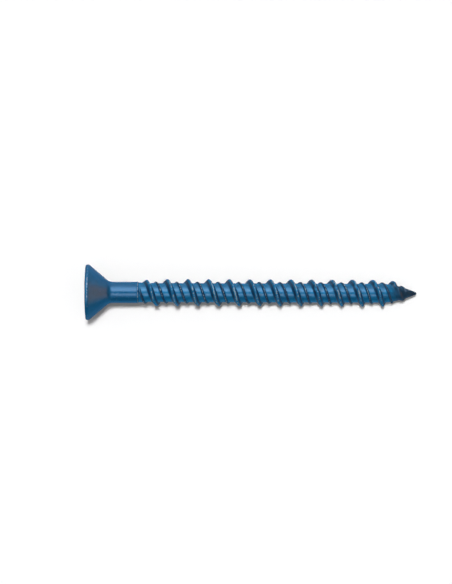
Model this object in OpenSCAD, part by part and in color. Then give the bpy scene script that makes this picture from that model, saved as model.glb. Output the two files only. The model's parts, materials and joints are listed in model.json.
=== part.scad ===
// Concrete screw with a flat countersunk head, a cross recess and a high and low double thread.
// The screw is drawn along +Z with its head's face at zero, then laid on its side along +X,
// so that it rests on the rim of the head and on the last full crest of the thread.

/* [Head] */
// Diameter of the flat head
head_d = 9.56; // [8.5:0.02:12]
// Included angle of the countersunk cone, in degrees
sink_angle = 81; // [70:1:100]
// Length of the straight land around the rim
rim_l = 0.56; // [0.45:0.01:0.8]
// Rounding of the edge between the face and the rim
rim_r = 0.25; // [0.1:0.01:0.4]
// Fillet between the cone and the shank
neck_r = 1.6; // [0.6:0.1:3]

/* [Cross recess] */
// Span across two opposite wings at the face
recess_span = 5.8; // [4.5:0.1:6.6]
// Depth of the recess at its middle
recess_l = 3; // [2:0.1:3.4]
// Rise of the conical floor towards the wings
floor_l = 0.45; // [0.2:0.05:0.8]
// Width of a wing
wing_w = 1.15; // [0.8:0.05:1.4]
// Rounding between neighbouring wings
wing_r = 1.2; // [0.6:0.1:1.5]
// Lean of the wing ends to the axis, in degrees
wing_lean = 26; // [15:1:30]

/* [Shank] */
// Length from the face to the tip
screw_l = 57.15; // [40:0.05:80]
// Diameter of the smooth shank
shank_d = 3.64; // [3.5:0.02:4.2]
// Distance from the face to the end of the smooth shank
shank_end = 9; // [7.5:0.5:15]
// Step by which the shank's end stands over the run of the thread
shank_step = 0.08; // [0.04:0.01:0.1]

/* [Thread] */
// Diameter of the core between the threads
root_d = 3.27; // [3:0.01:3.3]
// Diameter over the high thread
high_d = 4.68; // [4.2:0.02:5.2]
// Diameter over the low thread
low_d = 3.79; // [3.5:0.01:4]
// Axial distance from one turn to the next, for both threads
pitch = 3.56; // [3:0.02:4.2]
// Axial distance from the high crest to the low crest that follows it
low_shift = 1.62; // [1.5:0.02:1.9]
// Distance from the face to the first high crest on the +Y side
first_crest = 10.38; // [10:0.01:11]
// Width of the high thread where it meets the core
high_base_w = 1.1; // [0.8:0.05:1.5]
// Width of the high thread's rounded crest
high_crest_w = 0.36; // [0.2:0.02:0.5]
// Width of the low thread where it meets the core
low_base_w = 0.56; // [0.4:0.02:0.8]
// Width of the low thread's rounded crest
low_crest_w = 0.16; // [0.1:0.02:0.24]
// Length over which the core narrows and the high thread rises after the shank
run_in_l = 1.9; // [1.2:0.1:3]
// Length over which the low thread rises after the shank
low_run_in_l = 0.4; // [0.3:0.1:1.9]

/* [Lead notches] */
// Distance from the first notch in the high thread to the tip
notch_zone_l = 17.6; // [8:0.1:30]
// Angle from one notch to the next along the thread, in degrees
notch_gap = 176; // [90:1:360]
// Part of the high thread's height that a notch takes away
notch_depth = 0.7; // [0.2:0.05:0.8]
// Angle that a notch spans along the thread, in degrees
notch_span = 34; // [24:1:60]

/* [Point] */
// Length of the tapered point
point_l = 5.65; // [4:0.05:8]
// Diameter of the blunt tip
tip_d = 0.34; // [0.2:0.02:0.6]
// Fullness of the point's curve, where 1 is a straight cone
point_fullness = 1.6; // [1:0.1:2]
// Bare length at the tip, past the end of the threads
bare_l = 1.4; // [1:0.1:2.5]
// Length over which the high thread sinks into the point
run_out_l = 2.4; // [1.5:0.1:4]
// Length over which the low thread sinks into the point
low_run_out_l = 1.2; // [0.8:0.1:2.4]

/* [Hidden] */

// Segments of the round faces, and of one turn of a thread
round_steps = 96;
turn_steps = 32;
turn_angle = 360 / turn_steps;
// Points of the neck's fillet, the rim's rounding and the point's curve
neck_points = 6;
rim_points = 4;
point_points = 10;
// Overlap by which a cut passes the face that it opens
cut_over = 0.5;
// Depth of a ridge's foot and of its faded ends below the surface that carries it
foot_sink = 0.22;
end_sink = 0.08;
// Height of a crest's shoulders as a part of the ridge's height
shoulder_part = 0.84;
// Part of a notch's span that its level floor takes
notch_floor_part = 0.35;
// Turn of the round body about its axis, so that the head lies on a flat of its mesh, not on a corner
body_turn = 2.75;

head_r = head_d / 2;
shank_r = shank_d / 2;
root_r = root_d / 2;
tip_r = tip_d / 2;
high_h = high_d / 2 - root_r;
low_h = low_d / 2 - root_r;
run_r = shank_r - shank_step;
run_end = shank_end + run_in_l;
point_z = screw_l - point_l;
thread_end = screw_l - bare_l;

// The cone's half angle, and where the neck's fillet touches the shank
cone_angle = sink_angle / 2;
neck_end = rim_l + (head_r - shank_r) / tan(cone_angle) + neck_r * tan(cone_angle / 2);

// Value that goes from 0 at a to 1 at b and stays within the two
function ramp(x, a, b) = min(1, max(0, (x - a) / (b - a)));

// Radius of the core at a distance z from the face
function core_r(z) = z > point_z
    ? tip_r + (root_r - tip_r) * (1 - pow(ramp(z, point_z, screw_l), point_fullness))
    : run_r + (root_r - run_r) * ramp(z, shank_end, run_end);

// Part of its full height that a thread with given run lengths has at a distance z from the face
function thread_part(z, in_l, out_l) =
    ramp(z, shank_end, shank_end + in_l) * ramp(-z, -thread_end, out_l - thread_end);

// Part of its height that the high thread keeps beside its notches, at a distance z from the face
function notch_part(z) =
    let (turned = 360 * (z - screw_l + notch_zone_l) / pitch,
         off = abs(turned - notch_gap * max(0, round(turned / notch_gap))))
    1 - notch_depth * ramp(-2 * off, -notch_span, -notch_span * notch_floor_part);

// Height of a ridge over the core, sunk by end_sink where the thread has run out
function ridge_h(height, z, in_l, out_l) = (height + end_sink) * thread_part(z, in_l, out_l) - end_sink;

// Tilt at which the rim of the head and the crests along the lower side touch one plane
low_side_turn = 0.75;
last_turn = floor((thread_end - first_crest) / pitch - low_side_turn);
rest_tilt = min([for (turn = [0 : last_turn])
    let (z = first_crest + pitch * (turn + low_side_turn))
    atan2(head_r - core_r(z) - ridge_h(high_h, z, run_in_l, run_out_l), z - rim_l)]);
rest_z = rim_l * sin(rest_tilt) + head_r * cos(rest_tilt);

// Middle of the lying screw's length, from the rim's lowest edge to the tip's upper edge
lying_start = rim_r * (cos(rest_tilt) - 1) - (head_r - rim_r) * sin(rest_tilt);
lying_end = screw_l * cos(rest_tilt) + tip_r * sin(rest_tilt);
lying_mid = (lying_start + lying_end) / 2;

// Half section of the head, shank, core and point, as radius and distance from the face
function body_outline() = concat(
    [[0, 0]],
    [for (k = [0 : rim_points]) let (a = 90 * k / rim_points)
        [head_r - rim_r + rim_r * sin(a), rim_r - rim_r * cos(a)]],
    [[head_r, rim_l]],
    [for (k = [0 : neck_points]) let (a = cone_angle * (1 - k / neck_points))
        [shank_r + neck_r * (1 - cos(a)), neck_end - neck_r * sin(a)]],
    [[shank_r, shank_end - shank_step], [run_r, shank_end], [root_r, run_end]],
    [for (k = [0 : point_points]) let (z = point_z + point_l * k / point_points) [core_r(z), z]],
    [[0, screw_l]]);

module body() {
    rotate_extrude($fn = round_steps) polygon(body_outline());
}

// Cross section of a ridge: axial offset from its crest, and part of its height
function ridge_section(base_w, crest_w, height) =
    let (foot = base_w / 2 + foot_sink * (base_w - crest_w) / 2 / (shoulder_part * height))
    [[-foot, 0], [-crest_w / 2, shoulder_part], [0, 1], [crest_w / 2, shoulder_part], [foot, 0]];

// A thread: its section carried along a helix whose crest passes the +Y side at start
module ridge(start, height, base_w, crest_w, in_l, out_l, notched) {
    section = ridge_section(base_w, crest_w, height);
    sides = len(section);
    first = floor((shank_end - start) / pitch * turn_steps);
    last = ceil((thread_end - start) / pitch * turn_steps);
    rings = last - first;
    points = [for (step = [first : last], s = section)
        let (angle = step * turn_angle,
             crest_z = start + pitch * step / turn_steps,
             z = crest_z + s[0],
             part = notched ? notch_part(crest_z) : 1,
             crest_h = ridge_h(height, crest_z, in_l, out_l) * part,
             r = core_r(z) + (s[1] == 0 ? -foot_sink : crest_h * s[1]))
        [-r * sin(angle), r * cos(angle), z]];
    sides_faces = [for (ring = [0 : rings - 1], k = [0 : sides - 1])
        let (a = ring * sides + k,
             b = ring * sides + (k + 1) % sides)
        each [[a, b, b + sides], [a, b + sides, a + sides]]];
    end_faces = [[for (k = [sides - 1 : -1 : 0]) k], [for (k = [0 : sides - 1]) rings * sides + k]];
    polyhedron(points, concat(sides_faces, end_faces), convexity = 10);
}

// Outline of the cross recess, with its wings on the diagonals
module cross_outline() {
    corner = wing_w / 2 + wing_r;
    rotate(45) {
        square([2 * head_r, wing_w], center = true);
        square([wing_w, 2 * head_r], center = true);
        difference() {
            square(2 * corner, center = true);
            for (x = [-corner, corner], y = [-corner, corner])
                translate([x, y])
                    circle(wing_r, $fn = round_steps);
        }
    }
}

// The cross outline, narrowed towards a conical floor
module recess() {
    lean = tan(wing_lean);
    wall_l = recess_l - floor_l;
    intersection() {
        translate([0, 0, -cut_over])
            linear_extrude(cut_over + recess_l + cut_over)
                cross_outline();
        rotate_extrude($fn = round_steps)
            polygon([[0, -cut_over], [recess_span / 2 + cut_over * lean, -cut_over],
                     [recess_span / 2 - wall_l * lean, wall_l], [0, recess_l]]);
    }
}

// The screw, laid on its side with the middle of its length over the origin
module screw() {
    color("steelblue")
        translate([-lying_mid, 0, rest_z])
            rotate([0, 90 + rest_tilt, 0]) {
                difference() {
                    rotate(body_turn)
                        body();
                    recess();
                }
                ridge(first_crest, high_h, high_base_w, high_crest_w, run_in_l, run_out_l, true);
                ridge(first_crest + low_shift, low_h, low_base_w, low_crest_w,
                      low_run_in_l, low_run_out_l, false);
            }
}

screw();
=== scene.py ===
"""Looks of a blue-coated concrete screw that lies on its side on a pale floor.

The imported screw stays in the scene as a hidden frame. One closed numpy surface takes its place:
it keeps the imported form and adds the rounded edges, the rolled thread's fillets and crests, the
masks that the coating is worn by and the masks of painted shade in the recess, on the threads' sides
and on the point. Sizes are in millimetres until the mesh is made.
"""

import json
import logging
import math
from dataclasses import dataclass, field
from enum import Enum

import bpy
import numpy as np
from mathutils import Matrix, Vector


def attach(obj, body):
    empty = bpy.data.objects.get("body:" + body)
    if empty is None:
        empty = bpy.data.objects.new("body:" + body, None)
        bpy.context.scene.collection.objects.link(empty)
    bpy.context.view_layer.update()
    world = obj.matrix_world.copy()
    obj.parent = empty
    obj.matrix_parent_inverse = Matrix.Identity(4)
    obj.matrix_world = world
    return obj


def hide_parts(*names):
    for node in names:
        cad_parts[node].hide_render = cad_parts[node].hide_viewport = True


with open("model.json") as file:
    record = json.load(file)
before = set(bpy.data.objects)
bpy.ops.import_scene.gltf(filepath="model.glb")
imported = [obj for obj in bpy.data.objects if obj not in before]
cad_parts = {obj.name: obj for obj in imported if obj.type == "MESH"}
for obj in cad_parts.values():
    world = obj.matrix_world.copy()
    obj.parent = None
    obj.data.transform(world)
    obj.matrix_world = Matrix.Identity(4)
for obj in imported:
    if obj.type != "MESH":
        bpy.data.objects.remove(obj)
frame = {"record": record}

log = logging.getLogger("screw")
MM = 0.001
Colour = tuple[float, float, float, float]


class Mask(Enum):
    """Named vertex masks of the screw's surface, each from 0 to 1.

    CREST and EDGE are where the coating is rubbed, on the threads and on the head and shank. The recess's
    mask is painted shade inside the recess, growing with depth, and the mask of the sides is painted shade
    on the sides of the threads and on the point. ROLLED is all that the rolling of the threads has marked.
    """

    CREST = "crest"
    EDGE = "edge"
    # The next two masks carry painted shade: in the recess, and on the threads' sides and the point.
    RECESS = "recess"
    FLANK = "flank"
    ROLLED = "rolled"


class Sees(Enum):
    """What a lamp acts on: reflections only, the screw's matt part only, or the floor only."""

    GLOSS = "gloss"
    MATT = "matt"
    FLOOR = "floor"


def ramp(x: np.ndarray, a: float, b: float) -> np.ndarray:
    """Straight rise from 0 at a to 1 at b, held within the two."""
    return np.clip((x - a) / (b - a), 0.0, 1.0)


def smooth(x: np.ndarray, a: float, b: float) -> np.ndarray:
    """Rise from 0 at a to 1 at b that starts and ends level: three squares less two cubes of the ramp."""
    t = ramp(x, a, b)
    return t * t * (3.0 - 2.0 * t)


def arc(centre: tuple[float, float], radius: float, start: float, end: float, count: int) -> np.ndarray:
    """Arc in the half section, by angles in degrees from 0 away from the axis to 90 towards the tip."""
    a = np.radians(np.linspace(start, end, count))
    return np.stack([centre[0] + radius * np.cos(a), centre[1] + radius * np.sin(a)], axis=1)


def put_in_scene(name: str, data: bpy.types.ID) -> bpy.types.Object:
    """Makes an object of a mesh, lamp or camera and links it to the scene.

    Args:
        name: Name of the object.
        data: Its mesh, lamp or camera.

    Returns:
        The object.
    """
    obj = bpy.data.objects.new(name, data)
    bpy.context.scene.collection.objects.link(obj)
    return obj


@dataclass(frozen=True)
class HeadSizes:
    """Flat countersunk head, with the mesh rows of its face and cone as parts of the way across."""

    radius: float = 4.772
    half_angle: float = 40.5
    land: float = 0.56
    rim_round: float = 0.25
    cone_edge_round: float = 0.4
    neck_round: float = 1.6
    rim_points: int = 7
    edge_wear: float = 0.64
    face_rows: tuple[float, ...] = (0.06, 0.3, 0.6, 0.85, 0.96)
    cone_rows: tuple[float, ...] = (0.02, 0.1, 0.3, 0.5, 0.7, 0.9, 0.98)


@dataclass(frozen=True)
class RecessSizes:
    """Cross recess in the head's face, with the depths between which its painted shade sets in."""

    span: float = 5.8
    depth: float = 3.0
    floor_rise: float = 0.45
    floor_start: float = 0.12
    wing_w: float = 1.15
    corner_round: float = 1.2
    lean: float = 26.0
    mouth_round: float = 0.1
    mouth_wear: tuple[float, ...] = (0.3, 0.55, 0.6, 0.55, 0.3)
    shade_depths: tuple[float, float] = (0.02, 0.6)
    turn: float = 45.0


@dataclass(frozen=True)
class ShankSizes:
    """Smooth shank and the core that carries the threads.

    The shank's end has a lip, given as parts of its height, each with its distance before the end. The
    step after it falls over the distances in step_places, which are also counted back from the end.
    """

    length: float = 57.15
    radius: float = 1.82
    end: float = 9.0
    lip: float = 0.04
    lip_rise: tuple[tuple[float, float], ...] = (
        (0.0, 0.42), (0.1, 0.34), (0.5, 0.26), (1.0, 0.16), (1.0, 0.11))
    lip_wear: float = 0.72
    step: float = 0.08
    step_round: float = 0.012
    step_places: tuple[float, ...] = (0.085, 0.04, 0.005, -0.03)
    core_radius: float = 1.635
    point: float = 5.65
    tip_radius: float = 0.17
    tip_round: float = 0.12
    fullness: float = 1.6


@dataclass(frozen=True)
class Ridge:
    """Axial section of one thread, whose head side leans more than its tip side."""

    height: float
    base_w: float
    crest_w: float
    lean_w: float
    head_fillet: float
    tip_fillet: float
    shoulder: float = 0.84
    level: float = 0.02

    def side(self, reach: float, fillet: float) -> np.ndarray:
        """One side of the section, from the root to the crest.

        A short level piece of root comes first, then a fillet leaves the root, a straight flank
        follows, and an arc that touches the flank ends level at the crest. The flank passes the
        root line at the reach.

        Args:
            reach: Distance from the crest at which the flank passes the root line.
            fillet: Radius of the fillet at the root.

        Returns:
            Array of rows, each a distance from the crest and a height over the root.
        """
        slope = self.shoulder * self.height / (reach - self.crest_w / 2)
        lean = math.atan(slope)
        foot = reach + fillet * math.tan(lean / 2)
        crest = (slope * reach - self.height) / (math.hypot(1, slope) - 1)
        a = np.linspace(0, lean, 5)
        low = np.stack([foot - fillet * np.sin(a), fillet * (1 - np.cos(a))], axis=1)
        b = np.linspace(lean, 0, 6)
        top = np.stack([crest * np.sin(b), self.height - crest * (1 - np.cos(b))], axis=1)
        mid = (low[-1:] + top[:1]) / 2
        return np.concatenate([low[:1] + [self.level, 0], low, mid, top])

    def section(self) -> np.ndarray:
        """Rounded section of the thread, from the root before it to the root after it.

        Returns:
            Array of rows, each an axial offset from the crest and a height over the root.
        """
        before = self.side(self.base_w / 2 + self.lean_w, self.head_fillet)
        after = self.side(self.base_w / 2 - self.lean_w, self.tip_fillet)
        return np.concatenate([before * [-1, 1], after[-2::-1]])


@dataclass(frozen=True)
class ThreadSizes:
    """High and low thread, which share one pitch.

    The rubbed lines run beside the crests by line_shift and are line_half wide to each side. They set in
    between the two parts of a thread's height in line_there. Painted shade on the threads' sides sets in
    and ends between parts of the height too, and on the point between parts of its length before its end.
    The shares say how strongly the low thread and the point take this painted shade. The plain rings of
    the point start by ring_gap past the threads' end.
    """

    pitch: float = 3.56
    first_crest: float = 10.38
    low_shift: float = 1.62
    run_in: float = 1.9
    run_out: float = 2.4
    low_run_in: float = 0.4
    low_run_out: float = 1.2
    bare_tip: float = 1.4
    ring_gap: float = 0.3
    notch_zone: float = 17.6
    notch_gap: float = 176.0
    notch_depth: float = 0.7
    notch_span: float = 34.0
    notch_floor: float = 0.35
    unevenness: float = 0.02
    uneven_waves: tuple[float, float] = (1.37, 3.1)
    line_shift: float = 0.015
    line_half: float = 0.22
    line_there: tuple[float, float] = (0.4, 0.9)
    low_line_there: tuple[float, float] = (0.3, 0.8)
    low_line_share: float = 0.8
    # Where the painted shade of the threads' sides and of the point sets in, and how strongly.
    shade_foot: tuple[float, float] = (0.0, 0.12)
    shade_top: tuple[float, float] = (0.8, 0.4)
    low_shade_foot: tuple[float, float] = (0.05, 0.4)
    low_shade_share: float = 0.75
    point_shade_span: tuple[float, float] = (0.7, 0.3)
    point_shade_share: float = 0.8
    high: Ridge = Ridge(0.705, 1.18, 0.36, lean_w=0.1, head_fillet=0.12, tip_fillet=0.06)
    low: Ridge = Ridge(0.26, 0.54, 0.22, lean_w=0.01, head_fillet=0.05, tip_fillet=0.04)


@dataclass(frozen=True)
class ThreadGrid:
    """Helical grid of the threaded core, one row for each station and one column for each angle."""

    points: np.ndarray
    s: np.ndarray
    crest: np.ndarray
    # Mask of painted shade on the threads' sides and the point.
    flank: np.ndarray
    stations: int


@dataclass
class Skin:
    """Vertices, masks and faces of one closed surface, gathered block by block."""

    points: list[np.ndarray] = field(default_factory=list)
    masks: dict[Mask, list[np.ndarray]] = field(default_factory=lambda: {m: [] for m in Mask})
    quads: list[np.ndarray] = field(default_factory=list)
    count: int = 0

    def add(self, points: np.ndarray, **masks: np.ndarray | float) -> np.ndarray:
        """Adds a grid of points.

        Args:
            points: Array whose last axis holds the three coordinates.
            masks: Mask values by name; each is spread over the grid's shape, and the rest are 0.

        Returns:
            Array of the new vertices' numbers, in the grid's shape.
        """
        shape = points.shape[:-1]
        ids = self.count + np.arange(int(np.prod(shape))).reshape(shape)
        self.points.append(points.reshape(-1, 3))
        for mask, values in self.masks.items():
            values.append(np.broadcast_to(masks.get(mask.value, 0.0), shape).reshape(-1))
        self.count += ids.size
        return ids

    def pole(self, s: float, columns: int, **masks: float) -> np.ndarray:
        """Adds one point on the axis, and gives its number once for each column that meets in it."""
        return np.full((1, columns), self.add(np.array([[0.0, 0.0, s]]), **masks)[0])

    def join(self, ids: np.ndarray, after: np.ndarray) -> None:
        """Adds the faces between neighbouring rows, closed by the column that follows the last one."""
        wide = np.hstack([ids, after[:, None]])
        self.quads.append(np.stack([wide[:-1, :-1], wide[:-1, 1:], wide[1:, 1:], wide[1:, :-1]],
                                   axis=-1).reshape(-1, 4))

    def faces(self) -> tuple[np.ndarray, list[list[int]]]:
        """Drops the sides of no length that poles and run-outs leave, and the points not in use.

        Returns:
            Numbers of the points that are kept, and the faces that use their new numbers.
        """
        quads = np.concatenate(self.quads)
        used, flat = np.unique(quads, return_inverse=True)
        a, b, c, d = flat.reshape(-1, 4).T
        whole = (a != b) & (b != c) & (c != d) & (d != a)
        faces = np.stack([a, b, c, d], axis=1)[whole].tolist()
        for pick, corners in (((a == d) & (b != c), (a, b, c)), ((b == c) & (a != d), (a, b, d)),
                              ((a == b) & (c != d), (a, c, d)), ((c == d) & (a != b), (a, b, c))):
            faces += np.stack(corners, axis=1)[pick].tolist()
        return used, faces


@dataclass
class Screw:
    """The whole screw as one closed surface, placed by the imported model's recess mount."""

    mounts: dict[str, dict]
    head: HeadSizes = HeadSizes()
    recess: RecessSizes = RecessSizes()
    shank: ShankSizes = ShankSizes()
    thread: ThreadSizes = ThreadSizes()

    def angles(self) -> np.ndarray:
        """Angles of the columns, closer together at the corners of the recess.

        Each eighth runs from the middle of a wing past its end corner and the start of the rounding
        to the next eighth, and the eighths mirror each other in turn.

        Returns:
            Rising angles in radians over one turn, measured from +Y towards +Z.
        """
        half = self.recess.wing_w / 2
        corner = math.asin(half / (self.recess.span / 2))
        bend = math.atan2(half, half + self.recess.corner_round)
        eighth = np.concatenate([np.linspace(0, corner, 4)[:-1], np.linspace(corner, bend, 5)[:-1],
                                 np.linspace(bend, math.pi / 4, 7)])
        wing = np.concatenate([eighth, math.pi / 2 - eighth[-2:0:-1]])
        turn = np.concatenate([wing + k * math.pi / 2 for k in range(4)]) + math.radians(self.recess.turn)
        return np.sort(turn % (2 * math.pi))

    def core(self, s: np.ndarray) -> np.ndarray:
        """Radius of the core: a short taper after the shank, a cylinder, then the full-bodied point.

        Args:
            s: Distances from the face.

        Returns:
            Radii of the same shape.
        """
        shank = self.shank
        run = shank.radius - shank.step
        body = run + (shank.core_radius - run) * ramp(s, shank.end, shank.end + self.thread.run_in)
        fall = 1 - ramp(s, shank.length - shank.point, shank.length) ** shank.fullness
        point = shank.tip_radius + (shank.core_radius - shank.tip_radius) * fall
        return np.where(s > shank.length - shank.point, point, body)

    def fade(self, s: np.ndarray, run_in: float, run_out: float) -> np.ndarray:
        """Part of its height that a thread has, rising after the shank and sinking into the point."""
        start, end = self.shank.end, self.shank.length - self.thread.bare_tip
        return ramp(s, start, start + run_in) * (1 - ramp(s, end - run_out, end))

    def notch(self, crest: np.ndarray) -> np.ndarray:
        """Part of the high thread's height that the lead notches leave.

        The notches follow each other along the thread by a fixed angle, from the first one on.

        Args:
            crest: Distances of the crest from the face.

        Returns:
            Array of the same shape, from 0 to 1.
        """
        thread = self.thread
        turned = 360 * (crest - self.shank.length + thread.notch_zone) / thread.pitch
        off = np.abs(turned - thread.notch_gap * np.maximum(np.round(turned / thread.notch_gap), 0))
        level = thread.notch_floor * thread.notch_span
        return 1 - thread.notch_depth * (1 - ramp(2 * off, level, thread.notch_span))

    def ring(self, profile: np.ndarray, angle: np.ndarray) -> np.ndarray:
        """Turns a half section, rows of a radius and a distance from the face, round the axis."""
        r, s = profile[:, :1], np.broadcast_to(profile[:, 1:], (len(profile), len(angle)))
        return np.stack([r * np.cos(angle), r * np.sin(angle), s], axis=-1)

    def cross(self, angle: np.ndarray) -> np.ndarray:
        """Radius of the recess's outline without its wing ends: wings joined by roundings.

        Within a wing's reach the outline is the wing's straight side; nearer to the diagonal it is
        the circle of the rounding, met from the axis.

        Args:
            angle: Angles of the columns in radians.

        Returns:
            Radii, one for each column.
        """
        half, bend = self.recess.wing_w / 2, self.recess.corner_round
        off = np.abs((angle - math.radians(self.recess.turn) + math.pi / 4) % (math.pi / 2) - math.pi / 4)
        side = half / np.maximum(np.sin(off), 1e-6)
        far = (half + bend) * math.sqrt(2)
        to_diagonal = math.pi / 4 - off
        chord = np.sqrt(np.maximum(bend ** 2 - (far * np.sin(to_diagonal)) ** 2, 0))
        inner = far * np.cos(to_diagonal) - chord
        return np.where(off > math.atan2(half, half + bend), inner, side)

    def recess_rows(self, angle: np.ndarray) -> tuple[np.ndarray, np.ndarray]:
        """Rows of the recess from its floor to the head's face.

        The floor is a flat cone cut by the outline. The wall keeps to the outline, whose wing ends
        lean inwards, and a quarter round opens it onto the face along the outline's normal.

        Args:
            angle: Angles of the columns in radians.

        Returns:
            Grid of points, and the painted shade of its rows, which grows with depth.
        """
        recess = self.recess
        lean = math.tan(math.radians(recess.lean))
        foot_r = recess.span / 2 - (recess.depth - recess.floor_rise) * lean
        plain = self.cross(angle)
        foot = np.minimum(plain, foot_r)
        part = np.linspace(recess.floor_start, 1, 7)[:, None]
        floor_r = part * foot
        floor_s = recess.depth - recess.floor_rise * floor_r / foot_r
        wall_s = floor_s[-1] + (recess.mouth_round - floor_s[-1]) * np.linspace(0, 1, 12)[1:, None]
        wall_r = np.minimum(plain, recess.span / 2 - wall_s * lean)
        r, s = np.concatenate([floor_r, wall_r]), np.concatenate([floor_s, wall_s])
        rows = np.stack([r * np.cos(angle), r * np.sin(angle), s], axis=-1)
        edge = rows[-1, :, :2]
        along = np.roll(edge, -1, axis=0) - np.roll(edge, 1, axis=0)
        out = np.stack([along[:, 1], -along[:, 0]], axis=1) / np.linalg.norm(along, axis=1)[:, None]
        a = np.radians(np.linspace(0, 90, 6)[1:])[:, None, None]
        lip = edge + recess.mouth_round * (1 - np.cos(a)) * out
        lip_s = np.broadcast_to(recess.mouth_round * (1 - np.sin(a)), lip.shape[:2] + (1,))
        rows = np.concatenate([rows, np.concatenate([lip, lip_s], axis=-1)])
        # Painted shade inside the recess, rising with depth.
        return rows, smooth(rows[..., 2], *recess.shade_depths)

    def head_profile(self) -> np.ndarray:
        """Half section from the face's rim over the land, cone and neck to the shank's end.

        Arcs round the rim, the cone's edge and the neck, each touching the straight piece beside it. The
        shank ends in a lip, from which a rounded step falls to the start of the core.

        Returns:
            Rows of a radius and a distance from the face.
        """
        head, shank = self.head, self.shank
        lean = math.radians(head.half_angle)
        rim = arc((head.radius - head.rim_round, head.rim_round), head.rim_round, -90, 0, head.rim_points)
        edge_round = head.cone_edge_round
        cut = edge_round * math.tan(lean / 2)
        edge = arc((head.radius - edge_round, head.land - cut), edge_round, 0, head.half_angle, 5)
        cone_l = (head.radius - shank.radius) / math.tan(lean)
        neck_s = head.land + cone_l + head.neck_round * math.tan(lean / 2)
        neck_r = shank.radius + head.neck_round
        neck = arc((neck_r, neck_s), head.neck_round, 180 + head.half_angle, 180, 12)
        cone = edge[-1] + (neck[0] - edge[-1]) * np.array(head.cone_rows)[:, None]
        rise, before = np.array(shank.lip_rise).T
        plain_s = np.linspace(neck_s, shank.end - before[0], 9)[1:]
        plain = np.stack([np.full_like(plain_s, shank.radius), plain_s], axis=1)
        lip = np.stack([shank.radius + rise * shank.lip, shank.end - before], axis=1)[1:]
        run, top = shank.radius - shank.step, shank.radius + shank.lip
        fall = [top - shank.step_round, (top + run) / 2, run + shank.step_round, run]
        step = np.stack([fall, shank.end - np.array(shank.step_places)], axis=1)
        return np.concatenate([rim, edge, cone, neck, plain, lip, step])

    def turn_section(self) -> tuple[np.ndarray, np.ndarray, np.ndarray]:
        """Section of one turn: the high thread, a stretch of root, the low thread and root again.

        Returns:
            Axial offsets from the high crest, and the heights of the high and of the low thread there.
        """
        thread = self.thread
        high, low = thread.high.section(), thread.low.section() + [thread.low_shift, 0]
        gap_1 = np.linspace(high[-1, 0], low[0, 0], 4)[1:-1]
        gap_2 = np.linspace(low[-1, 0], thread.pitch + high[0, 0], 4)[1:-1]
        u = np.concatenate([high[:, 0], gap_1, low[:, 0], gap_2])
        high_h = np.concatenate([high[:, 1], np.zeros(len(u) - len(high))])
        low_h = np.zeros(len(u))
        low_h[len(high) + len(gap_1):][:len(low)] = low[:, 1]
        return u, high_h, low_h

    def crest_lines(self, u: np.ndarray, crest_s: np.ndarray, kept: np.ndarray) -> np.ndarray:
        """Mask of the lines along which the crests are rubbed.

        A line falls off straight to both sides. It fades where its thread runs in or out and where a
        notch is cut. On the low thread it is half as wide and fainter.

        Args:
            u: Axial offsets of the rows from the high crest.
            crest_s: Distances of the high crest from the face.
            kept: Part of the high thread's height that the notches leave.

        Returns:
            Mask values in the grid's shape.
        """
        thread = self.thread
        run_out = self.shank.point - thread.bare_tip
        high_there = smooth(self.fade(crest_s, thread.run_in, run_out) * kept, *thread.line_there)
        low_fade = self.fade(crest_s + thread.low_shift, thread.low_run_in, run_out)
        low_there = smooth(low_fade, *thread.low_line_there)
        high_line = 1 - ramp(np.abs(u - thread.line_shift), 0, thread.line_half)
        low_line = 1 - ramp(np.abs(u - thread.low_shift - thread.line_shift / 2), 0, 0.5 * thread.line_half)
        return np.maximum(high_line * high_there, thread.low_line_share * low_line * low_there)

    def painted_side_shade(self, s: np.ndarray, high: tuple[np.ndarray, np.ndarray],
                   low: tuple[np.ndarray, np.ndarray], end: float) -> np.ndarray:
        """Mask of the painted shade on the sides of the threads and on the point.

        Painted shade darkens a side of the high thread between its foot and its crest, the low thread all
        over, and the point from its start towards the tip.

        Args:
            s: Distances from the face.
            high: Height over the root as a part of the high thread's, and its fade.
            low: The same for the low thread.
            end: Distance from the face of the last ring.

        Returns:
            Mask values in the grid's shape.
        """
        thread, point = self.thread, self.shank.point
        high_side = smooth(high[0], *thread.shade_foot) * smooth(high[0], *thread.shade_top) * high[1]
        low_side = thread.low_shade_share * smooth(low[0], *thread.low_shade_foot) * low[1]
        shade_start, shade_end = (end - part * point for part in thread.point_shade_span)
        tip_side = thread.point_shade_share * smooth(s, shade_start, shade_end)
        return np.maximum(np.maximum(high_side, low_side), tip_side)

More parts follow.
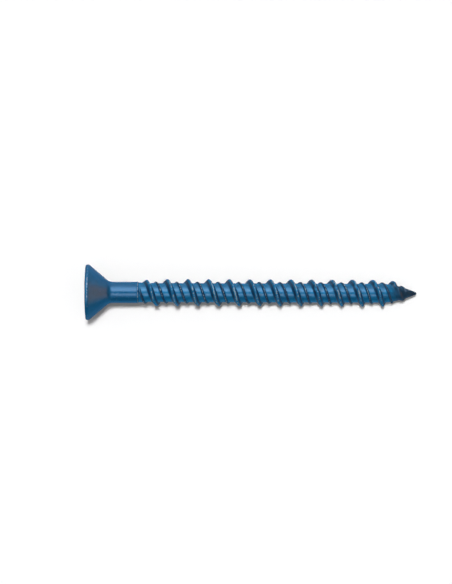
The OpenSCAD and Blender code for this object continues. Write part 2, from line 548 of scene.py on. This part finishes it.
    def thread_rows(self, angle: np.ndarray, start: float, end: float) -> ThreadGrid:
        """Helical grid of the threaded core between two rings.

        One turn's section holds the high and the low thread, each on its own crest. It is carried
        along the helix, so that a column at an angle stands a part of the pitch further on. The
        radius is the core's plus each thread's height times its fade, notches and unevenness.

        Args:
            angle: Angles of the columns in radians.
            start: Distance from the face of the first ring.
            end: Distance from the face of the last ring.

        Returns:
            The grid with its masks.
        """
        thread = self.thread
        section = self.turn_section()
        stations = len(section[0])
        turns = np.arange(math.floor((start - thread.first_crest) / thread.pitch) - 2,
                          math.ceil((end - thread.first_crest) / thread.pitch) + 2)
        u, high_h, low_h = (np.tile(row, len(turns))[:, None] for row in section)
        advance = thread.pitch * angle / (2 * math.pi)
        base = (thread.first_crest + thread.pitch * turns)[:, None] + advance[None, :]
        crest_s = np.repeat(base, stations, axis=0)
        s = crest_s + u
        winding = (crest_s - thread.first_crest) / thread.pitch * 2 * math.pi
        slow, fast = thread.uneven_waves
        waves = 0.5 + 0.25 * np.sin(slow * winding) + 0.25 * np.sin(fast * winding + 1.0)
        uneven = 1 - thread.unevenness * waves
        fade_high = self.fade(crest_s, thread.run_in, thread.run_out)
        fade_low = self.fade(crest_s + thread.low_shift, thread.low_run_in, thread.low_run_out)
        kept = self.notch(crest_s)
        r = self.core(s) + high_h * fade_high * kept * uneven + low_h * fade_low
        points = np.stack([r * np.cos(angle), r * np.sin(angle), s], axis=-1)
        crest = self.crest_lines(u, crest_s, kept)
        high, low = (high_h / thread.high.height, fade_high), (low_h / thread.low.height, fade_low)
        return ThreadGrid(points, s, crest, self.painted_side_shade(s, high, low, end), stations)

    def point_profile(self, start: float) -> np.ndarray:
        """Half section of the bare point from a ring to the rounded tip.

        Args:
            start: Distance from the face of the first ring.

        Returns:
            Rows of a radius and a distance from the face.
        """
        shank = self.shank
        s = np.linspace(start, shank.length - shank.tip_round, 8)
        side = np.stack([self.core(s), s], axis=1)
        a = np.radians(np.linspace(0, 90, 6)[1:])
        flat = side[-1, 0] - shank.tip_round
        tip_r = flat + shank.tip_round * np.cos(a)
        tip_s = shank.length - shank.tip_round * (1 - np.sin(a))
        return np.concatenate([side, np.stack([tip_r, tip_s], axis=1)])

    def head_rows(self, skin: Skin, angle: np.ndarray, profile: np.ndarray) -> np.ndarray:
        """Adds the recess, the face and the outside of the head and shank.

        Args:
            skin: Surface that the rows go into.
            angle: Angles of the columns in radians.
            profile: Half section of the head and shank.

        Returns:
            Vertex numbers of the last row, at the start of the core.
        """
        inner, inner_shade = self.recess_rows(angle)
        outer = self.ring(profile, angle)
        part = np.array(self.head.face_rows)[:, None, None]
        mouth = np.zeros(len(inner))
        mouth[-len(self.recess.mouth_wear):] = self.recess.mouth_wear
        edge = np.zeros(len(profile))
        # The first two rows after the rim's rounding, then the lip's last two rows and the step's first
        edge[self.head.rim_points:][:2] = self.head.edge_wear
        edge[-len(self.shank.step_places) - 2:][:3] = self.shank.lip_wear
        # The pole and the recess's rows take the painted recess shade; the pole takes it in full.
        rows = np.concatenate([skin.pole(self.recess.depth, len(angle), recess=1.0),
                               skin.add(inner, recess=inner_shade, edge=mouth[:, None]),
                               skin.add(inner[-1] + part * (outer[0] - inner[-1])),
                               skin.add(outer, edge=edge[:, None])])
        skin.join(rows, rows[:, 0])
        return rows[-1]

    def skin(self) -> Skin:
        """Joins the recess, head, threaded core and point into one closed surface.

        The helical grid is cut off by two rings: its points before the first ring become the ring's
        point of the same column, and so do those past the last one.

        Returns:
            The surface, with its points in the screw's own frame.
        """
        angle = self.angles()
        skin = Skin()
        profile = self.head_profile()
        first = self.head_rows(skin, angle, profile)
        start = float(profile[-1, 1])
        end = self.shank.length - self.thread.bare_tip + self.thread.ring_gap
        grid = self.thread_rows(angle, start, end)
        # Painted shade: the threads' sides by their mask, and the point's rings all over.
        free = skin.add(grid.points, crest=grid.crest, flank=grid.flank, rolled=1.0)
        tip = skin.add(self.ring(self.point_profile(end), angle), flank=self.thread.point_shade_share)
        ids = np.where(grid.s <= start, first, np.where(grid.s >= end, tip[0], free))
        skin.join(ids, np.concatenate([ids[grid.stations:, 0], np.full(grid.stations, tip[0, 0])]))
        lower = np.concatenate([tip, skin.pole(self.shank.length, len(angle))])
        skin.join(lower, lower[:, 0])
        return skin

    def place(self, points: np.ndarray) -> np.ndarray:
        """Carries points from the screw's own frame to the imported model's frame.

        The recess mount gives the face's middle and the way out of the head. The first coordinate
        goes along +Y, the third into the screw and the second upwards, square to both.

        Args:
            points: Rows of three coordinates in millimetres.

        Returns:
            Rows of three coordinates in metres.
        """
        mount = self.mounts["drive_recess"]
        into = -np.array(mount["axis"], float)
        into /= np.linalg.norm(into)
        side = np.array([0.0, 1.0, 0.0])
        return np.array(mount["pos_m"]) + points * MM @ np.stack([side, np.cross(into, side), into])

    def build(self) -> bpy.types.Object:
        """Makes the mesh object with its masks.

        Returns:
            The object, linked to the scene.
        """
        skin = self.skin()
        used, faces = skin.faces()
        mesh = bpy.data.meshes.new("screw_skin")
        mesh.from_pydata(self.place(np.concatenate(skin.points)[used]).tolist(), [], faces)
        for mask, values in skin.masks.items():
            layer = mesh.attributes.new(mask.value, "FLOAT", "POINT")
            layer.data.foreach_set("value", np.concatenate(values)[used].astype(np.float32))
        mesh.shade_smooth()
        log.info("screw: %d vertices, %d faces", len(used), len(faces))
        return put_in_scene("screw_skin", mesh)

    def dress(self, obj: bpy.types.Object, material: bpy.types.Material) -> None:
        """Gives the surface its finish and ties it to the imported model.

        Args:
            obj: The screw's surface.
            material: The coating.
        """
        obj.data.materials.append(material)
        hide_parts("screw")
        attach(obj, "root")


class Shader:
    """Small helper that adds and links the nodes of one tree."""

    def __init__(self, tree: bpy.types.NodeTree) -> None:
        """Starts on the tree that the nodes go into."""
        self.tree = tree

    @classmethod
    def fresh(cls, owner: bpy.types.ID) -> "Shader":
        """Starts on the emptied tree of a material or a world.

        Args:
            owner: The material or world.

        Returns:
            The helper for its tree.
        """
        owner.use_nodes = True
        owner.node_tree.nodes.clear()
        return cls(owner.node_tree)

    def add(self, kind: str, settings: dict | None = None, **inputs: object) -> bpy.types.Node:
        """Adds a node.

        Args:
            kind: Type name of the node.
            settings: Properties of the node itself.
            inputs: Values or output sockets for its inputs, with spaces in names as underscores.

        Returns:
            The new node.
        """
        node = self.tree.nodes.new(kind)
        for name, value in (settings or {}).items():
            setattr(node, name, value)
        for name, value in inputs.items():
            self.put(node, name.replace("_", " "), value)
        return node

    def put(self, node: bpy.types.Node, name: str | int, value: object) -> None:
        """Sets or links one input.

        Args:
            node: Node that the input belongs to.
            name: Name or number of the input.
            value: A value, or the output socket that is to be linked.
        """
        socket = node.inputs[name]
        if isinstance(value, bpy.types.NodeSocket):
            self.tree.links.new(value, socket)
        else:
            socket.default_value = value

    def mix(self, part: object, first: object, second: object) -> bpy.types.NodeSocket:
        """Mixes two colours.

        Args:
            part: Share of the second colour, a value or a socket.
            first: First colour.
            second: Second colour.

        Returns:
            Output socket of the mixed colour.
        """
        node = self.add("ShaderNodeMix", {"data_type": "RGBA"})
        for number, value in ((0, part), (6, first), (7, second)):
            self.put(node, number, value)
        return node.outputs[2]

    def math(self, operation: str, *values: object) -> bpy.types.NodeSocket:
        """Joins values by an operation.

        Args:
            operation: Name of the operation.
            values: Values or sockets, in the order of the node's inputs.

        Returns:
            Output socket of the result.
        """
        node = self.add("ShaderNodeMath", {"operation": operation})
        for number, value in enumerate(values):
            self.put(node, number, value)
        return node.outputs[0]

    def span(self, value: object, source: tuple[float, float], target: tuple[float, float] = (0.0, 1.0),
             eased: bool = False) -> bpy.types.NodeSocket:
        """Maps a value from one range to another and holds it there.

        Args:
            value: Value or socket.
            source: Range that it comes from.
            target: Range that it goes to.
            eased: Whether the change starts and ends level.

        Returns:
            Output socket of the mapped value.
        """
        node = self.add("ShaderNodeMapRange", {"interpolation_type": "SMOOTHSTEP" if eased else "LINEAR"},
                        Value=value, From_Min=source[0], From_Max=source[1], To_Min=target[0],
                        To_Max=target[1])
        return node.outputs[0]

    def grain(self, group: bpy.types.NodeTree, place: bpy.types.NodeSocket, scales: tuple[float, float],
              height: object = 0.0) -> bpy.types.Node:
        """Places the group of the uneven surface, with its two noises' scales and its bump's height."""
        return self.add("ShaderNodeGroup", {"node_tree": group}, Vector=place, Main_Scale=scales[0],
                        Second_Scale=scales[1], Height=height)


def grain_group() -> bpy.types.NodeTree:
    """Node group of an uneven surface, shared by the coating and the floor.

    A main and a second noise on the given coordinates are added, six parts to four, into one value,
    which also drives a bump.

    Returns:
        The group, with outputs Value and Normal.
    """
    group = bpy.data.node_groups.new("grain", "ShaderNodeTree")
    for name, kind in (("Vector", "NodeSocketVector"), ("Main Scale", "NodeSocketFloat"),
                       ("Second Scale", "NodeSocketFloat"), ("Height", "NodeSocketFloat")):
        group.interface.new_socket(name, in_out="INPUT", socket_type=kind)
    for name, kind in (("Value", "NodeSocketFloat"), ("Normal", "NodeSocketVector")):
        group.interface.new_socket(name, in_out="OUTPUT", socket_type=kind)
    sh = Shader(group)
    into, out = sh.add("NodeGroupInput"), sh.add("NodeGroupOutput")
    place = into.outputs["Vector"]
    main_noise = sh.add("ShaderNodeTexNoise", Vector=place, Scale=into.outputs["Main Scale"], Detail=3.0)
    second = sh.add("ShaderNodeTexNoise", Vector=place, Scale=into.outputs["Second Scale"], Detail=4.0)
    value = sh.math("MULTIPLY_ADD", main_noise.outputs[0], 0.6, sh.math("MULTIPLY", second.outputs[0], 0.4))
    bump = sh.add("ShaderNodeBump", Strength=1.0, Distance=into.outputs["Height"], Height=value)
    sh.put(out, "Value", value)
    sh.put(out, "Normal", bump.outputs[0])
    return group


@dataclass(frozen=True)
class BlueCoating:
    """Glossy blue coating on steel, paler where it is rubbed thin on crests and edges.

    The plain surfaces are mottled between a darker blue and plain, and the rolled ones between rolled_deep
    and rolled. The darker blue is also painted shade inside the recess, and a dark colour is painted shade
    on the threads' sides and on the point. Dents are the bump's heights on the plain and on the rolled
    surfaces.
    The rubbed lines are broken up by a noise, which rub_reach adds to the crests in full and to the edges
    by edge_share.
    """

    # Darker blue of the random mottle, and painted shade inside the recess.
    deep_mottle_and_recess_shade: Colour = (0.006, 0.26, 0.64, 1.0)
    plain: Colour = (0.008, 0.32, 0.75, 1.0)
    rolled_deep: Colour = (0.011, 0.39, 0.9, 1.0)
    rolled: Colour = (0.013, 0.47, 1.0, 1.0)
    # Painted shade colour of the threads' sides and the point.
    flank: Colour = (0.028, 0.085, 0.17, 1.0)
    worn: Colour = (0.52, 0.82, 1.0, 1.0)
    edge_tint: Colour = (0.05, 0.35, 0.7, 1.0)
    metallic: float = 0.43
    worn_metallic: float = 1.0
    roughness: float = 0.42
    roughness_swing: float = 0.12
    worn_roughness: float = 0.65
    coat_roughness: float = 0.2
    coat_ior: float = 1.7
    dents: tuple[float, float] = (0.00004, 0.0002)
    mottle_scales: tuple[float, float] = (1200.0, 2600.0)
    mottle_range: tuple[float, float] = (0.3, 0.7)
    rub_scales: tuple[float, float] = (2400.0, 240.0)
    rub_range: tuple[float, float] = (0.35, 0.65)
    rub_reach: tuple[float, float] = (-0.8, 0.5)
    edge_share: float = 0.45
    wear_range: tuple[float, float] = (0.45, 0.8)

    def material(self, grain: bpy.types.NodeTree) -> bpy.types.Material:
        """Makes the coating from the grain group and the surface's masks.

        Args:
            grain: Shared group of the uneven surface.

        Returns:
            The material.
        """
        made = bpy.data.materials.new("blue_coating")
        sh = Shader.fresh(made)
        place = sh.add("ShaderNodeTexCoord").outputs["Object"]
        masks = {m: sh.add("ShaderNodeAttribute", {"attribute_name": m.value}).outputs["Fac"] for m in Mask}
        on_thread = masks[Mask.ROLLED]
        mottle = sh.grain(grain, place, self.mottle_scales, sh.span(on_thread, (0.0, 1.0), self.dents))
        value = sh.span(mottle.outputs["Value"], self.mottle_range)
        tone = sh.mix(value, sh.mix(on_thread, self.deep_mottle_and_recess_shade, self.rolled_deep),
                      sh.mix(on_thread, self.plain, self.rolled))
        # Painted shade: darker blue inside the recess, and the dark colour on the threads' sides and the
        # point.
        tone = sh.mix(masks[Mask.RECESS], tone, self.deep_mottle_and_recess_shade)
        tone = sh.mix(masks[Mask.FLANK], tone, self.flank)
        rubbed = sh.grain(grain, place, self.rub_scales)
        patchy = sh.span(rubbed.outputs["Value"], self.rub_range, self.rub_reach)
        edges = sh.math("MULTIPLY_ADD", patchy, self.edge_share, masks[Mask.EDGE])
        lines = sh.math("MAXIMUM", sh.math("ADD", masks[Mask.CREST], patchy), edges)
        wear = sh.span(lines, self.wear_range, eased=True)
        tone = sh.mix(wear, tone, self.worn)
        metal = sh.span(wear, (0.0, 1.0), (self.metallic, self.worn_metallic))
        smoothest = self.roughness - self.roughness_swing / 2
        rough = sh.math("MULTIPLY_ADD", value, self.roughness_swing, smoothest)
        rough = sh.math("MAXIMUM", rough, sh.math("MULTIPLY", wear, self.worn_roughness))
        skin = sh.add("ShaderNodeBsdfPrincipled", Base_Color=tone, Metallic=metal, Roughness=rough,
                      Normal=mottle.outputs["Normal"], Specular_IOR_Level=0.0,
                      Specular_Tint=self.edge_tint, Coat_Weight=1.0,
                      Coat_Roughness=self.coat_roughness, Coat_IOR=self.coat_ior)
        sh.add("ShaderNodeOutputMaterial", Surface=skin.outputs[0])
        return made


@dataclass(frozen=True)
class PaleFloor:
    """Matt white floor with a faint grain.

    What the screw mirrors of the floor is set apart from what the camera sees: it is dim on the near side
    and paler on the far side. Past lit_end the border between the two turns towards the tip.
    """

    tone: Colour = (0.9, 0.9, 0.9, 1.0)
    shade: Colour = (0.88, 0.88, 0.885, 1.0)
    grain_scales: tuple[float, float] = (30.0, 900.0)
    mirrored_lit: Colour = (0.37, 0.37, 0.38, 1.0)
    mirrored_dim: Colour = (0.06, 0.06, 0.06, 1.0)
    bounced: Colour = (0.15, 0.15, 0.15, 1.0)
    dim_side: float = -0.02
    lit_side: float = 0.05
    lit_end: float = 0.05
    end_turn: float = 2.0
    half_size: float = 6.0
    glow: float = 0.92

    def material(self, grain: bpy.types.NodeTree, lamp: Vector) -> bpy.types.Material:
        """Makes the floor's finish.

        The light of the lamp that throws the shadow falls off with the fourth power of the lamp's height
        over its distance. The floor glows by what is missing, so that it is even far off too.

        Args:
            grain: Shared group of the uneven surface.
            lamp: Place of the lamp that throws the shadow.

        Returns:
            The material.
        """
        made = bpy.data.materials.new("pale_floor")
        sh = Shader.fresh(made)
        place = sh.add("ShaderNodeTexCoord").outputs["Object"]
        tone = sh.mix(sh.grain(grain, place, self.grain_scales).outputs["Value"], self.tone, self.shade)
        axes = sh.add("ShaderNodeSeparateXYZ", Vector=place)
        past = sh.math("MAXIMUM", sh.math("SUBTRACT", axes.outputs["X"], self.lit_end), 0.0)
        across = sh.math("MULTIPLY_ADD", past, self.end_turn, axes.outputs["Y"])
        side = sh.span(across, (self.dim_side, self.lit_side), eased=True)
        path = sh.add("ShaderNodeLightPath")
        mirrored = sh.mix(side, self.mirrored_dim, self.mirrored_lit)
        tone = sh.mix(path.outputs["Is Glossy Ray"], tone, mirrored)
        tone = sh.mix(path.outputs["Is Diffuse Ray"], tone, self.bounced)
        far = sh.add("ShaderNodeVectorMath", {"operation": "DISTANCE"})
        sh.put(far, 0, place)
        sh.put(far, 1, lamp)
        lit = sh.math("POWER", sh.math("DIVIDE", lamp.z, far.outputs["Value"]), 4.0)
        missing = sh.math("MULTIPLY", sh.math("SUBTRACT", 1.0, lit), self.glow)
        skin = sh.add("ShaderNodeBsdfPrincipled", Base_Color=tone, Roughness=0.9, Specular_IOR_Level=0.1,
                      Emission_Color=tone, Emission_Strength=missing)
        sh.add("ShaderNodeOutputMaterial", Surface=skin.outputs[0])
        return made

    def build(self, grain: bpy.types.NodeTree, lamp: Vector) -> bpy.types.Object:
        """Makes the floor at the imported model's ground.

        Args:
            grain: Shared group of the uneven surface.
            lamp: Place of the lamp that throws the shadow.

        Returns:
            The floor object.
        """
        corner = np.array([[-1, -1, 0], [1, -1, 0], [1, 1, 0], [-1, 1, 0]]) * self.half_size
        mesh = bpy.data.meshes.new("floor")
        mesh.from_pydata(corner.tolist(), [], [[0, 1, 2, 3]])
        mesh.materials.append(self.material(grain, lamp))
        obj = put_in_scene("floor", mesh)
        log.info("floor: %.1f m square", 2 * self.half_size)
        return obj


@dataclass(frozen=True)
class Panel:
    """Flat lamp that faces the screw's middle, or straight down if it lights the floor.

    The azimuth and elevation are in degrees, the sizes and the distance in metres. Soft is the part of the
    half width and half height over which the lamp fades at its edges.
    """

    name: str
    azimuth: float
    elevation: float
    width: float
    height: float
    radiance: float
    sees: Sees
    tint: tuple[float, float, float] = (1.0, 1.0, 1.0)
    soft: tuple[float, float] = (0.5, 0.5)
    distance: float = 0.6

    def fade(self, lamp: bpy.types.Light) -> None:
        """Lets the lamp's radiance fall smoothly to nothing at its edges.

        The place on the lamp runs from 0 to 1 both ways. Each way the fall takes the soft part of the
        half width, and the two falls are multiplied.

        Args:
            lamp: The lamp's data.
        """
        lamp.use_nodes = True
        sh = Shader(lamp.node_tree)
        spot = sh.add("ShaderNodeNewGeometry").outputs["Parametric"]
        place = sh.add("ShaderNodeSeparateXYZ", Vector=spot)
        falls = []
        for number, soft in enumerate(self.soft):
            off = sh.math("ABSOLUTE", sh.math("SUBTRACT", place.outputs[number], 0.5))
            falls.append(sh.span(off, (0.5 - 0.5 * soft, 0.5), (1.0, 0.0), eased=True))
        sh.put(lamp.node_tree.nodes["Emission"], "Strength", sh.math("MULTIPLY", *falls))

    def spot(self, target: Vector) -> Vector:
        """Place of the lamp.

        Args:
            target: Point that the azimuth and elevation are seen from.

        Returns:
            The place in metres.
        """
        a, e = math.radians(self.azimuth), math.radians(self.elevation)
        way = Vector((math.cos(a) * math.cos(e), math.sin(a) * math.cos(e), math.sin(e)))
        return target + way * self.distance

    def build(self, target: Vector) -> bpy.types.Object:
        """Makes the lamp, with its width level and its height along the elevation.

        Args:
            target: Point that the lamp faces.

        Returns:
            The lamp object.
        """
        lamp = bpy.data.lights.new(self.name, "AREA")
        lamp.shape = "RECTANGLE"
        lamp.size, lamp.size_y = self.width, self.height
        lamp.energy = self.radiance * math.pi * self.width * self.height
        lamp.color = self.tint
        if max(self.soft) > 0:
            self.fade(lamp)
        obj = put_in_scene(self.name, lamp)
        obj.location = self.spot(target)
        obj.rotation_mode = "QUATERNION"
        if self.sees is not Sees.FLOOR:
            obj.rotation_quaternion = (target - obj.location).to_track_quat("-Z", "Y")
        obj.visible_camera = False
        obj.visible_glossy = self.sees is Sees.GLOSS
        obj.visible_diffuse = self.sees is not Sees.GLOSS
        log.info("lamp %s: %.2f x %.2f m", self.name, self.width, self.height)
        return obj


@dataclass(frozen=True)
class Studio:
    """Soft light, surroundings and the camera straight above.

    The surroundings are mirrored dimmer towards the viewer's side, by the Y part of the direction.
    """

    panels: tuple[Panel, ...] = (
        Panel("key", 90, 62, 0.5, 0.42, 1.75, Sees.GLOSS, soft=(0.5, 0.35)),
        Panel("key_mid", 90, 34, 0.5, 0.36, 1.1, Sees.GLOSS, soft=(0.5, 0.6)),
        Panel("key_low", 90, 8, 0.5, 0.34, 0.36, Sees.GLOSS, soft=(0.5, 0.6)),
        Panel("fill", -90, 67, 0.5, 0.3, 1.22, Sees.GLOSS, soft=(0.5, 0.35)),
        Panel("fill_low", -90, 44, 0.5, 0.3, 0.16, Sees.GLOSS, soft=(0.5, 0.6)),
        Panel("end", -1, 8.5, 1.15, 0.2, 0.9, Sees.GLOSS, (1.0, 0.4, 0.1), (0.85, 0.4)),
        Panel("side", -140, 50, 0.5, 0.2, 4.0, Sees.MATT),
        Panel("far_side", 92, 8, 0.5, 0.2, 2.4, Sees.MATT),
        Panel("bounce", -55, -30, 0.5, 0.3, 8.0, Sees.MATT),
        Panel("far_bounce", 55, -30, 0.5, 0.3, 8.2, Sees.MATT),
        Panel("head_bounce", -135, -38, 0.5, 0.3, 6.6, Sees.MATT),
        Panel("far_head_bounce", 135, -38, 0.5, 0.3, 8.8, Sees.MATT),
        Panel("sky", 90, 89, 14.0, 14.0, 0.365, Sees.FLOOR, (0.95, 0.97, 1.0), (0.0, 0.0), 6.0),
    )
    shade: Panel = Panel("shade", 104, 79.5, 0.042, 0.042, 149.0, Sees.FLOOR, (1.0, 0.997, 0.991),
                         (0.0, 0.0), 0.3)
    mirrored: Colour = (0.12, 0.12, 0.125, 1.0)
    mirrored_near: Colour = (0.03, 0.03, 0.03, 1.0)
    near_range: tuple[float, float] = (-0.9, -0.5)
    backdrop: Colour = (1.0, 1.0, 1.0, 1.0)
    camera_over: tuple[float, float] = (-0.00439, 0.00013)
    axis_height: float = 0.00345
    camera_rise: float = 0.226
    view_height: float = 0.10083
    roll: float = 0.2

    def target(self) -> Vector:
        """Point on the screw's axis that the lamps are set out from."""
        return Vector((0.0, 0.0, self.axis_height))

    def world(self) -> None:
        """Dim surroundings that are mirrored but light no matt surface, behind a pale backdrop."""
        world = bpy.data.worlds.new("studio")
        bpy.context.scene.world = world
        sh = Shader.fresh(world)
        world.cycles_visibility.diffuse = False
        way = sh.add("ShaderNodeSeparateXYZ", Vector=sh.add("ShaderNodeTexCoord").outputs["Generated"])
        side = sh.span(way.outputs["Y"], self.near_range, eased=True)
        seen = sh.add("ShaderNodeLightPath").outputs["Is Camera Ray"]
        tone = sh.mix(seen, sh.mix(side, self.mirrored_near, self.mirrored), self.backdrop)
        back = sh.add("ShaderNodeBackground", Color=tone, Strength=1.0)
        sh.add("ShaderNodeOutputWorld", Surface=back.outputs[0])

    def camera(self) -> None:
        """Camera that looks straight down, with the screw's length along the picture's width."""
        data = bpy.data.cameras.new("camera")
        data.sensor_width = 36.0
        data.lens = data.sensor_width * self.camera_rise / self.view_height
        data.clip_start, data.clip_end = 0.01, 10.0
        obj = put_in_scene("camera", data)
        obj.location = (*self.camera_over, self.axis_height + self.camera_rise)
        obj.rotation_euler = (0.0, 0.0, math.radians(self.roll))
        bpy.context.scene.camera = obj

    def build(self, screw: bpy.types.Object, floor: bpy.types.Object) -> None:
        """Puts up the lamps, the surroundings and the camera.

        Lamps for matt surfaces light either the screw or the floor. Only the screw throws shadows, so that
        the lamps below the floor stand for the light that a white floor throws back. The screw throws no
        light on the floor, which keeps its shadow grey.

        Args:
            screw: The screw's surface.
            floor: The floor object.
        """
        screw.visible_diffuse = False
        lit = {}
        for sees, obj in ((Sees.MATT, screw), (Sees.FLOOR, floor)):
            lit[sees] = bpy.data.collections.new("lit_" + sees.value)
            lit[sees].objects.link(obj)
        for panel in (*self.panels, self.shade):
            lamp = panel.build(self.target())
            if panel.sees in lit:
                lamp.light_linking.receiver_collection = lit[panel.sees]
                lamp.light_linking.blocker_collection = lit[Sees.MATT]
        self.world()
        self.camera()
        bpy.context.scene.view_settings.view_transform = "Standard"


def main() -> None:
    """Builds the screw, its floor and its light."""
    logging.basicConfig(level=logging.INFO, format="%(name)s: %(message)s")
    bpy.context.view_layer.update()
    grain = grain_group()
    screw = Screw(mounts={m["name"]: m for m in frame["record"]["mounts"]})
    obj = screw.build()
    screw.dress(obj, BlueCoating().material(grain))
    studio = Studio()
    floor = PaleFloor().build(grain, studio.shade.spot(studio.target()))
    studio.build(obj, floor)


if __name__ == "__main__":
    main()
